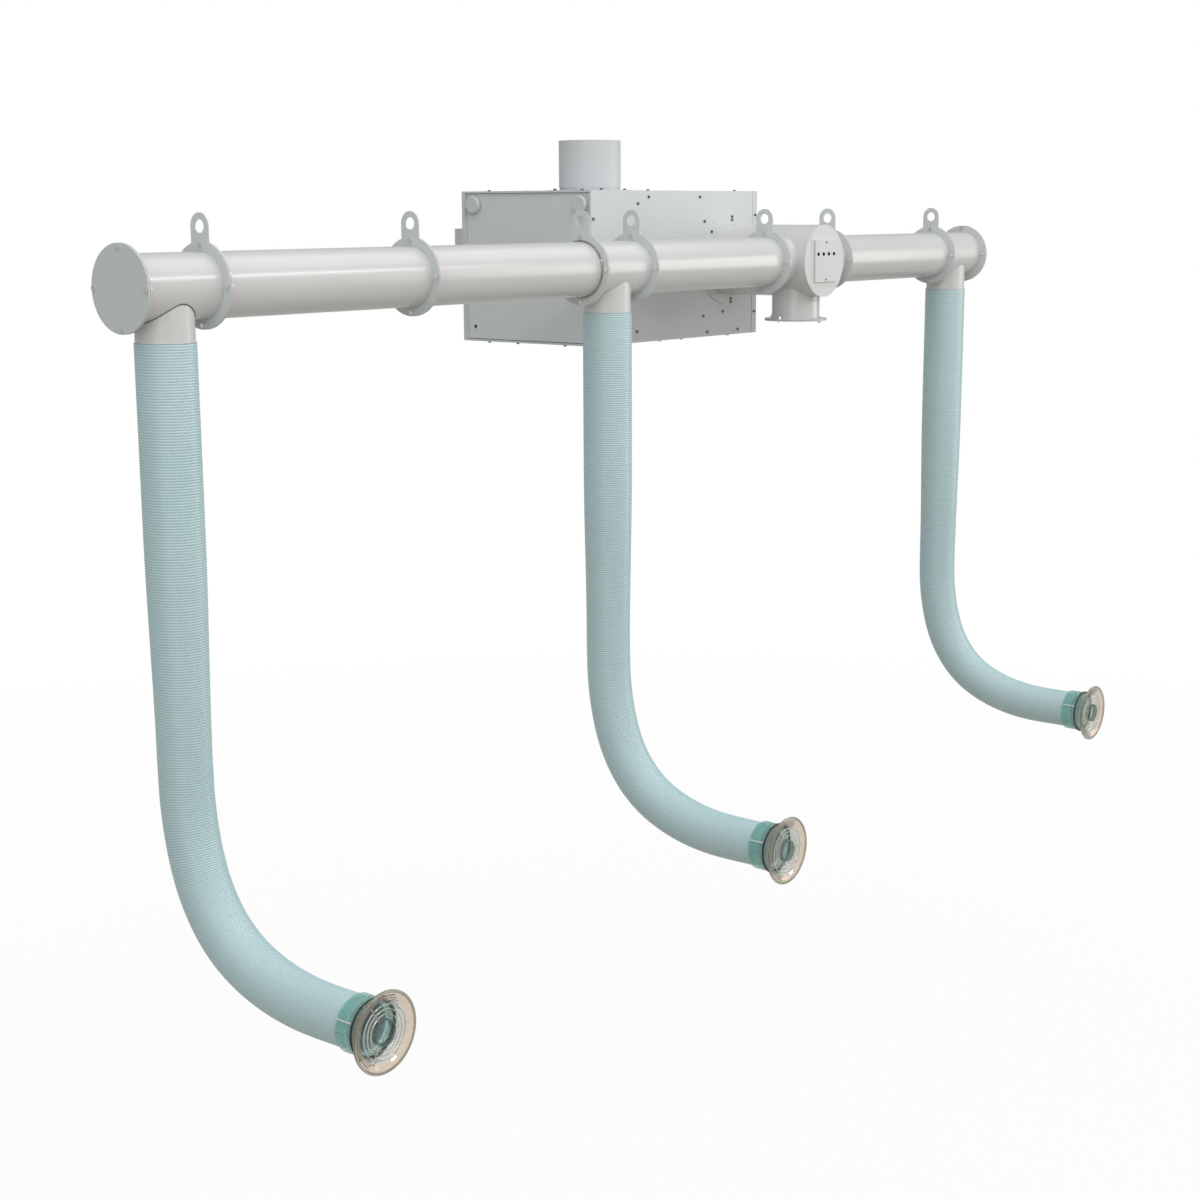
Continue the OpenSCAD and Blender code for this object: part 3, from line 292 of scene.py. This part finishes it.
# Hose skin: tones from the crest of a rib down to its groove, slow clouds, and the tint of its sides:
# painted greener where they turn away, partly painted shade on the sides and partly the longer path
# through the translucent wall
HOSE_TONES = [(0.0, (0.605, 0.755, 0.79)), (0.45, (0.545, 0.705, 0.74)), (1.0, (0.40, 0.585, 0.60))]
HOSE_CLOUD = (0.93, 0.95, 0.95)
HOSE_SIDE_FROM = 0.35
HOSE_SIDE_TO = 0.95
HOSE_SIDE_SHADE_AND_DEPTH = (0.90, 1.06, 1.04)
HOSE_ROUGHNESS = 0.36
HOSE_GRAIN = 0.25
HOSE_GRAIN_DEPTH = 0.00005
HOSE_COAT = 0.45
HOSE_COAT_BLUR = 0.2
BUTTON_GLOSS = 0.1


def new_material(name):
    material = bpy.data.materials.new(name)
    material.use_nodes = True
    tree = material.node_tree
    shader = tree.nodes["Principled BSDF"]
    return material, tree, shader


def link(tree, a, out, b, into):
    tree.links.new(a.outputs[out], b.inputs[into])


def noise(tree, scale, detail=3):
    """Noise on object coordinates."""
    place = tree.nodes.new("ShaderNodeTexCoord")
    texture = tree.nodes.new("ShaderNodeTexNoise")
    texture.inputs["Scale"].default_value = scale
    texture.inputs["Detail"].default_value = detail
    link(tree, place, "Object", texture, "Vector")
    return texture


def ramp(tree, source, out, stops):
    """A colour ramp fed by one output, with stops given as pairs of position and colour."""
    node = tree.nodes.new("ShaderNodeValToRGB")
    node.color_ramp.elements[0].position = stops[0][0]
    node.color_ramp.elements[0].color = (*stops[0][1], 1)
    node.color_ramp.elements[1].position = stops[-1][0]
    node.color_ramp.elements[1].color = (*stops[-1][1], 1)
    for position, colour in stops[1:-1]:
        node.color_ramp.elements.new(position).color = (*colour, 1)
    link(tree, source, out, node, "Fac")
    return node


def shade(colour, share):
    return tuple(c * share for c in colour)


def mottle(tree, texture, low, high):
    """Two tones laid over a noise texture, most of which lies between the ramp's two stops."""
    return ramp(tree, texture, "Fac", [(MOTTLE_LOW, low), (MOTTLE_HIGH, high)])


def uneven_polish(tree, shader, texture, roughness, shares):
    """A roughness that strays a little from place to place."""
    low, high = ((roughness * share,) * 3 for share in shares)
    link(tree, mottle(tree, texture, low, high), "Color", shader, "Roughness")


def bump(tree, shader, source, out, strength, distance):
    node = tree.nodes.new("ShaderNodeBump")
    node.inputs["Strength"].default_value = strength
    node.inputs["Distance"].default_value = distance
    link(tree, source, out, node, "Height")
    link(tree, node, "Normal", shader, "Normal")


def multiplied(tree, one, other):
    """One colour times another."""
    mix = tree.nodes.new("ShaderNodeMix")
    mix.data_type = "RGBA"
    mix.blend_type = "MULTIPLY"
    mix.inputs["Factor"].default_value = 1.0
    tree.links.new(one, mix.inputs["A"])
    tree.links.new(other, mix.inputs["B"])
    return mix.outputs["Result"]


def coated(name, colour, roughness, coat=0.0, spread=0.04, grain=900, depth=0.00003):
    """Powder-coated sheet: a fine orange-peel skin and slow, faint changes of tone."""
    material, tree, shader = new_material(name)
    tone = mottle(tree, noise(tree, scale=2.2, detail=4), shade(colour, 1 - spread), colour)
    link(tree, tone, "Color", shader, "Base Color")
    bump(tree, shader, noise(tree, grain, detail=2), "Fac", COAT_PEEL, depth)
    uneven_polish(tree, shader, noise(tree, scale=7), roughness, COAT_POLISH)
    shader.inputs["Coat Weight"].default_value = coat
    shader.inputs["Coat Roughness"].default_value = COAT_BLUR
    return material


def metal(name, colour, roughness, grain=400):
    """Bare or plated metal, a little uneven in tone and polish."""
    material, tree, shader = new_material(name)
    tone = mottle(tree, noise(tree, grain / 4), shade(colour, METAL_DULL), colour)
    link(tree, tone, "Color", shader, "Base Color")
    shader.inputs["Metallic"].default_value = 1.0
    uneven_polish(tree, shader, noise(tree, grain), roughness, METAL_POLISH)
    return material


def rubbery(name, colour, roughness, grain=700, depth=0.00008):
    """Matt rubber or plastic with a fine grain."""
    material, tree, shader = new_material(name)
    tone = mottle(tree, noise(tree, scale=30, detail=4), shade(colour, RUBBER_DULL),
                  shade(colour, RUBBER_PALE))
    link(tree, tone, "Color", shader, "Base Color")
    bump(tree, shader, noise(tree, grain), "Fac", RUBBER_GRAIN, depth)
    shader.inputs["Roughness"].default_value = roughness
    return material


def clear_shell(name, roughness):
    """The shared part of a clear plastic: the tint comes later."""
    material, tree, shader = new_material(name)
    shader.inputs["Transmission Weight"].default_value = CLARITY
    shader.inputs["IOR"].default_value = PLASTIC_IOR
    uneven_polish(tree, shader, noise(tree, scale=60), roughness, CLEAR_POLISH)
    return material, tree, shader


def darken_edges_depth_and_reflection(tree, shader, tint, edge):
    """A clear wall seen along its length is darker than one seen straight on: partly the longer path
    through the wall, partly a painted dark reflection along its edges.
    """
    facing = tree.nodes.new("ShaderNodeLayerWeight")
    facing.inputs["Blend"].default_value = SIDE_ON
    shade_off = ramp(tree, facing, "Facing", [(EDGE_FROM, WHITE), (EDGE_TO, edge)])
    colour = multiplied(tree, tint, shade_off.outputs["Color"])
    tree.links.new(colour, shader.inputs["Base Color"])


def cuff_plastic(name, colour, roughness):
    """Clear sea-green moulding."""
    material, tree, shader = clear_shell(name, roughness)
    tone = mottle(tree, noise(tree, scale=14), shade(colour, CUFF_DULL), colour)
    darken_edges_depth_and_reflection(tree, shader, tone.outputs["Color"], CUFF_EDGE_DEPTH_AND_REFLECTION)
    return material


def bell_plastic(name, x, roughness):
    """Clear moulding: its tint changes from the grille's tube out to the rim, and is cooler outside."""
    material, tree, shader = clear_shell(name, roughness)
    place = tree.nodes.new("ShaderNodeTexCoord")
    centred = tree.nodes.new("ShaderNodeMapping")
    axis = at(x, 0, ROUTE[-1][1])
    centred.inputs["Location"].default_value = (-axis.x, 0, -axis.z)
    centred.inputs["Scale"].default_value = (1, 0, 1)
    link(tree, place, "Object", centred, "Vector")
    reach = tree.nodes.new("ShaderNodeVectorMath")
    reach.operation = "LENGTH"
    link(tree, centred, "Vector", reach, 0)
    share = tree.nodes.new("ShaderNodeMath")
    share.operation = "DIVIDE"
    share.inputs[1].default_value = BELL_REACH
    link(tree, reach, "Value", share, 0)
    tint = ramp(tree, share, "Value", [(r / BELL_REACH, colour) for r, colour in BELL_TINTS])
    way = tree.nodes.new("ShaderNodeSeparateXYZ")
    link(tree, place, "Normal", way, "Vector")
    cooler = ramp(tree, way, "Y", [(OUTSIDE_FROM, WHITE), (OUTSIDE_TO, BELL_OUTSIDE)])
    both = multiplied(tree, tint.outputs["Color"], cooler.outputs["Color"])
    darken_edges_depth_and_reflection(tree, shader, both, BELL_EDGE_DEPTH_AND_REFLECTION)
    return material


def hose_plastic(name):
    """Sea-green hose skin: darker in the grooves, and painted greener where it turns away, partly as
    painted shade on its sides and partly for the longer path through its wall.
    """
    material, tree, shader = new_material(name)
    mark = tree.nodes.new("ShaderNodeAttribute")
    mark.attribute_name = "groove"
    rib = ramp(tree, mark, "Fac", HOSE_TONES)
    cloud = mottle(tree, noise(tree, scale=3), HOSE_CLOUD, WHITE)
    mottled = multiplied(tree, rib.outputs["Color"], cloud.outputs["Color"])
    # Painted shade: sides that turn away are tinted greener, partly as shade and partly for the longer
    # path through the wall
    facing = tree.nodes.new("ShaderNodeLayerWeight")
    facing.inputs["Blend"].default_value = SIDE_ON
    sides = ramp(tree, facing, "Facing", [(HOSE_SIDE_FROM, WHITE), (HOSE_SIDE_TO, HOSE_SIDE_SHADE_AND_DEPTH)])
    tree.links.new(multiplied(tree, mottled, sides.outputs["Color"]), shader.inputs["Base Color"])
    bump(tree, shader, noise(tree, scale=500, detail=2), "Fac", HOSE_GRAIN, HOSE_GRAIN_DEPTH)
    shader.inputs["Roughness"].default_value = HOSE_ROUGHNESS
    shader.inputs["Coat Weight"].default_value = HOSE_COAT
    shader.inputs["Coat Roughness"].default_value = HOSE_COAT_BLUR
    return material


def woven(name, colour, scale):
    """Filter cloth or paper, in small cells."""
    material, tree, shader = new_material(name)
    place = tree.nodes.new("ShaderNodeTexCoord")
    weave = tree.nodes.new("ShaderNodeTexVoronoi")
    weave.inputs["Scale"].default_value = scale
    link(tree, place, "Object", weave, "Vector")
    tone = ramp(tree, weave, "Distance", [(0, shade(colour, CLOTH_DULL)), (CLOTH_CELL, colour)])
    link(tree, tone, "Color", shader, "Base Color")
    bump(tree, shader, weave, "Distance", CLOTH_GRAIN, CLOTH_DEPTH)
    shader.inputs["Roughness"].default_value = CLOTH_ROUGHNESS
    return material


duct_paint = coated("duct_powder_coat", (0.67, 0.665, 0.66), 0.30, coat=0.9)
cabinet_paint = coated("cabinet_powder_coat", (0.66, 0.685, 0.695), 0.42, grain=1200)
exhaust_paint = coated("exhaust_powder_coat", (0.62, 0.64, 0.65), 0.42, grain=1200)
flange_paint = coated("flange_powder_coat", (0.66, 0.69, 0.70), 0.34)
cap_paint = coated("cap_powder_coat", (0.64, 0.68, 0.675), 0.45)
spigot_paint = coated("spigot_pipe_skin", (0.71, 0.70, 0.695), 0.33, coat=0.3)
panel_paint = coated("control_panel_skin", (0.68, 0.685, 0.69), 0.36)
zinc = metal("zinc_plated_steel", (0.88, 0.87, 0.84), 0.2)
# Painted light: the door wears a lighter copy of the cabinet's paint, to make up for the little light
# that falls on its side
door_paint_painted_lighter = coated("door_powder_coat_painted_lighter", (0.72, 0.752, 0.748), 0.36)
dark_steel = metal("darkened_steel", (0.10, 0.10, 0.095), 0.30)
bead_steel = metal("bright_bead_steel", (0.42, 0.39, 0.35), 0.14)
# Painted shade: a black ring that stands in for the dark gap behind each bell
bell_gap_shade_black = rubbery("bell_gap_painted_shade", (0.022, 0.026, 0.026), 0.45)
# A dark line for the left saddle seam; the middle and right seams are fine paint-toned lines
left_seam_dark_line = rubbery("saddle_seam_dark_line", (0.10, 0.095, 0.08), 0.6)
seam_paint = coated("saddle_seam_paint", (0.52, 0.51, 0.50), 0.4)
rib_plastic = coated("cuff_rib_plastic", (0.66, 0.71, 0.72), 0.25)
sheet_steel = metal("galvanised_sheet", (0.56, 0.57, 0.58), 0.45, grain=120)
seal_rubber = rubbery("flange_gasket_rubber", (0.42, 0.43, 0.42), 0.7)
foam = rubbery("door_seal_foam", (0.03, 0.03, 0.03), 0.9, grain=300, depth=0.0003)
button_plastic = rubbery("button_plastic", (0.004, 0.004, 0.005), 0.8)
button_shader = button_plastic.node_tree.nodes["Principled BSDF"]
button_shader.inputs["Specular IOR Level"].default_value = BUTTON_GLOSS
board = coated("circuit_board", (0.03, 0.16, 0.07), 0.4, spread=0.3, grain=300)
motor_paint = coated("motor_enamel", (0.05, 0.055, 0.06), 0.45)
pleated_paper = woven("pleated_filter_paper", (0.78, 0.76, 0.68), 600)
mat_fibre = woven("prefilter_fibre", (0.72, 0.75, 0.78), 350)
cuff_clear = cuff_plastic("cuff_clear_plastic", (0.54, 0.82, 0.77), 0.08)
bell_clear = {side: bell_plastic("bell_clear_plastic_" + side, x, 0.02) for side, x in ARMS.items()}
hose_skin = hose_plastic("hose_sea_green_plastic")

finishes = {
    duct_paint: ["main_duct_a", "main_duct_b", "main_duct_c", "main_duct_d", "tee_left", "tee_middle",
                 "tee_right", "hub_body"],
    door_paint_painted_lighter: ["service_door"],
    cabinet_paint: ["cabinet_shell", "cabinet_top", "end_cover", "knob_front", "knob_rear",
                    "control_box", "plenum_partition", "fan_deck", "inlet_collar"],
    exhaust_paint: ["exhaust_collar"],
    flange_paint: ["hanger_ring_1", "hanger_ring_2", "hanger_ring_3", "hanger_ring_4", "hanger_ring_5",
                   "hanger_ring_6", "hanger_ring_7", "blanking_plate"],
    cap_paint: ["end_caps"],
    spigot_paint: ["spigot_left", "spigot_middle", "spigot_right"],
    panel_paint: ["control_panel", "hub_front_plate"],
    zinc: ["flange_screws"],
    dark_steel: ["sheet_screws"],
    sheet_steel: ["filter_rails", "motor_bridge"],
    seal_rubber: ["flange_gaskets"],
    foam: ["door_gasket"],
    button_plastic: ["button_1", "button_2", "button_3", "button_4"],
    board: ["control_board"],
    motor_paint: ["fan_motor", "impeller"],
    pleated_paper: ["main_filter"],
    mat_fibre: ["prefilter"],
    cuff_clear: ["nozzle_cuff_left", "nozzle_cuff_middle", "nozzle_cuff_right"],
}


def wear(obj, material):
    obj.data.materials.clear()
    obj.data.materials.append(material)


for material, names in finishes.items():
    for name in names:
        wear(nodes[name], material)
for side, hose in hoses.items():
    wear(hose, hose_skin)
    wear(nodes["nozzle_" + side], bell_clear[side])


# Small pieces that the plain model leaves out
# A black ring behind each bell: painted shade, standing in for the dark gap between the cuff and the bell
RING_Y = -0.4924
RING_R = 0.0563
RING_TUBE = 0.0019
RING_FLAT = 0.95
# The bead beside hanger ring 3
BEAD_X = -0.0972
BEAD_R = 0.0640
BEAD_TUBE = 0.0021
BEAD_FLAT = 0.85
# The seams where the spigots' saddles meet the duct
DUCT_R = 0.0625
SADDLE_R = 0.0552
WIDE_SEAM = 0.0013
FINE_SEAM = 0.0006
# The pale rib along each cuff
RIB_R = 0.0572
RIB_TURN = math.radians(26)
RIB_SIZE = (0.0012, 0.0365, 0.0036)
RIB_Y = -0.4710
RIB_ROUNDING = 0.0005
RIB_STEPS = 3
# How finely the rings and seams are cut, and the sharpest edge that is shaded smooth
RING_SIDES = 72
RING_TUBE_SIDES = 12
SEAM_SIDES = 96
SEAM_TUBE_SIDES = 8
SMOOTH_BELOW = math.radians(40)
QUARTER = math.pi / 2


def settle(obj, name, material, body):
    """Puts a finished piece's place in its mesh, and gives it its name, finish and body."""
    pick(obj)
    bpy.ops.object.transform_apply(location=True, rotation=True, scale=True)
    bpy.ops.object.shade_smooth_by_angle(angle=SMOOTH_BELOW)
    obj.name = name
    obj.data.name = name
    wear(obj, material)
    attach(obj, body)


def make_ring(name, place, radius, tube, turn, squeeze, material, body):
    """A round ring, flattened along its own axis."""
    bpy.ops.mesh.primitive_torus_add(major_radius=radius, minor_radius=tube, major_segments=RING_SIDES,
                                     minor_segments=RING_TUBE_SIDES, location=place, rotation=turn)
    ring = bpy.context.object
    ring.scale = (1, 1, squeeze)
    settle(ring, name, material, body)


def make_seam(name, x, tube, material):
    """The line where a spigot's saddle meets the duct: a ring whose rows drop onto the duct's side."""
    bpy.ops.mesh.primitive_torus_add(major_radius=SADDLE_R, minor_radius=tube,
                                     major_segments=SEAM_SIDES, minor_segments=SEAM_TUBE_SIDES)
    seam = bpy.context.object
    for v in seam.data.vertices:
        across = v.co.y / math.hypot(v.co.x, v.co.y) * SADDLE_R
        v.co.z -= math.sqrt(DUCT_R ** 2 - across ** 2)
    seam.location = at(x, 0, 0)
    settle(seam, name, material, "manifold")


def make_rib(side, x):
    """The pale rib along the cuff, rounded over at its edges."""
    out, up = RIB_R * math.cos(RIB_TURN), RIB_R * math.sin(RIB_TURN)
    place = at(x - out, RIB_Y, ROUTE[-1][1] + up)
    bpy.ops.mesh.primitive_cube_add(size=1, location=place, rotation=(0, RIB_TURN, 0))
    rib = bpy.context.object
    rib.scale = RIB_SIZE
    pick(rib)
    bpy.ops.object.transform_apply(location=True, rotation=True, scale=True)
    soft = rib.modifiers.new("soft", "BEVEL")
    soft.width = RIB_ROUNDING
    soft.segments = RIB_STEPS
    bpy.ops.object.modifier_apply(modifier="soft")
    settle(rib, "cuff_rib_" + side, rib_plastic, "arm_end_" + side)


bpy.ops.object.select_all(action="DESELECT")
for side, x in ARMS.items():
    make_ring("bell_ring_" + side, at(x, RING_Y, ROUTE[-1][1]), RING_R, RING_TUBE, (QUARTER, 0, 0),
              RING_FLAT, bell_gap_shade_black, "bell_" + side)
    make_rib(side, x)
make_ring("duct_bead", at(BEAD_X, 0, 0), BEAD_R, BEAD_TUBE, (0, QUARTER, 0), BEAD_FLAT, bead_steel,
          "manifold")
make_seam("saddle_seam_left", ARMS["left"], WIDE_SEAM, left_seam_dark_line)
make_seam("saddle_seam_middle", ARMS["middle"], FINE_SEAM, seam_paint)
make_seam("saddle_seam_right", ARMS["right"], FINE_SEAM, seam_paint)


# Floor, light and backdrop
FLOOR_Z = -2.35
FLOOR_SIZE = 60
FLOOR_COLOUR = (0.42, 0.39, 0.34)
FLOOR_ROUGHNESS = 0.9
# How white the floor reads under the object and away from it, and over which distances it changes
WHITE_NEAR = 0.965
NEAR = 3.2
FAR = 7.0
# How much of that white a glossy surface mirrors, and how strongly the backdrop lights the object
GLOSS_SHARE = 0.4
BACKDROP_LIGHT = 0.44


def highest(tree, one, other):
    """The larger of two values."""
    node = tree.nodes.new("ShaderNodeMath")
    node.operation = "MAXIMUM"
    tree.links.new(one, node.inputs[0])
    tree.links.new(other, node.inputs[1])
    return node.outputs[0]


def white_to_camera(tree, shader):
    """The floor shows a faint shadow, and reads as white in the picture, in gloss and through plastic."""
    shader.inputs["Base Color"].default_value = (*FLOOR_COLOUR, 1)
    shader.inputs["Roughness"].default_value = FLOOR_ROUGHNESS
    glow = tree.nodes.new("ShaderNodeEmission")
    glow.inputs["Strength"].default_value = 1.0
    path = tree.nodes.new("ShaderNodeLightPath")
    place = tree.nodes.new("ShaderNodeTexCoord")
    reach = tree.nodes.new("ShaderNodeVectorMath")
    reach.operation = "LENGTH"
    link(tree, place, "Object", reach, 0)
    share = tree.nodes.new("ShaderNodeMapRange")
    share.inputs["From Min"].default_value = NEAR
    share.inputs["From Max"].default_value = FAR
    share.inputs["To Min"].default_value = WHITE_NEAR
    share.inputs["To Max"].default_value = 1.0
    link(tree, reach, "Value", share, "Value")
    in_gloss = tree.nodes.new("ShaderNodeMath")
    in_gloss.operation = "MULTIPLY"
    in_gloss.inputs[1].default_value = GLOSS_SHARE
    link(tree, path, "Is Glossy Ray", in_gloss, 0)
    rays = highest(tree, path.outputs["Is Camera Ray"], in_gloss.outputs[0])
    rays = highest(tree, rays, path.outputs["Is Transmission Ray"])
    part = tree.nodes.new("ShaderNodeMath")
    part.operation = "MULTIPLY"
    tree.links.new(rays, part.inputs[0])
    tree.links.new(share.outputs[0], part.inputs[1])
    mix = tree.nodes.new("ShaderNodeMixShader")
    tree.links.new(part.outputs[0], mix.inputs["Fac"])
    tree.links.new(shader.outputs[0], mix.inputs[1])
    tree.links.new(glow.outputs[0], mix.inputs[2])
    tree.links.new(mix.outputs[0], tree.nodes["Material Output"].inputs["Surface"])


def make_floor():
    if bpy.context.object:
        pick(bpy.context.object)
    bpy.ops.mesh.primitive_plane_add(size=FLOOR_SIZE, location=at(0, 0, FLOOR_Z))
    floor = bpy.context.object
    floor.name = "floor"
    bpy.ops.object.transform_apply(location=True)
    material, tree, shader = new_material("floor_white")
    white_to_camera(tree, shader)
    wear(floor, material)


def make_world():
    """A white backdrop that lights the object less than it shows."""
    world = bpy.data.worlds.new("world")
    bpy.context.scene.world = world
    world.use_nodes = True
    tree = world.node_tree
    back = tree.nodes["Background"]
    back.inputs["Color"].default_value = (1, 1, 1, 1)
    path = tree.nodes.new("ShaderNodeLightPath")
    seen = highest(tree, path.outputs["Is Camera Ray"], path.outputs["Is Transmission Ray"])
    level = tree.nodes.new("ShaderNodeMapRange")
    level.inputs["To Min"].default_value = BACKDROP_LIGHT
    level.inputs["To Max"].default_value = 1.0
    tree.links.new(seen, level.inputs["Value"])
    tree.links.new(level.outputs[0], back.inputs["Strength"])


def area_light(name, place, towards, size, size_y, power, colour):
    data = bpy.data.lights.new(name, "AREA")
    data.shape = "RECTANGLE"
    data.size = size
    data.size_y = size_y
    data.energy = power
    data.color = colour
    lamp = bpy.data.objects.new(name, data)
    bpy.context.scene.collection.objects.link(lamp)
    lamp.location = place
    lamp.rotation_euler = (Vector(towards) - Vector(place)).to_track_quat("-Z", "Y").to_euler()


make_floor()
make_world()
area_light("overhead", place=(0.1, -0.5, 2.3), towards=(0.1, -0.3, 0), size=6.5, size_y=2.6,
           power=42, colour=(0.92, 0.965, 1.0))
area_light("strip", place=(0.1, -3.9, 2.2), towards=(0.1, 0, 0), size=8.0, size_y=0.42,
           power=104, colour=(1.0, 0.995, 0.98))
area_light("side", place=(4.6, -3.2, 0.2), towards=(0.2, 0, -0.7), size=2.4, size_y=2.4,
           power=41, colour=(1.0, 0.97, 0.94))
area_light("fill", place=(-4.5, -2.0, 0.6), towards=(0, 0, -0.5), size=3.0, size_y=3.0,
           power=37, colour=(0.92, 1.0, 0.985))

scene = bpy.context.scene
scene.view_settings.view_transform = "Standard"
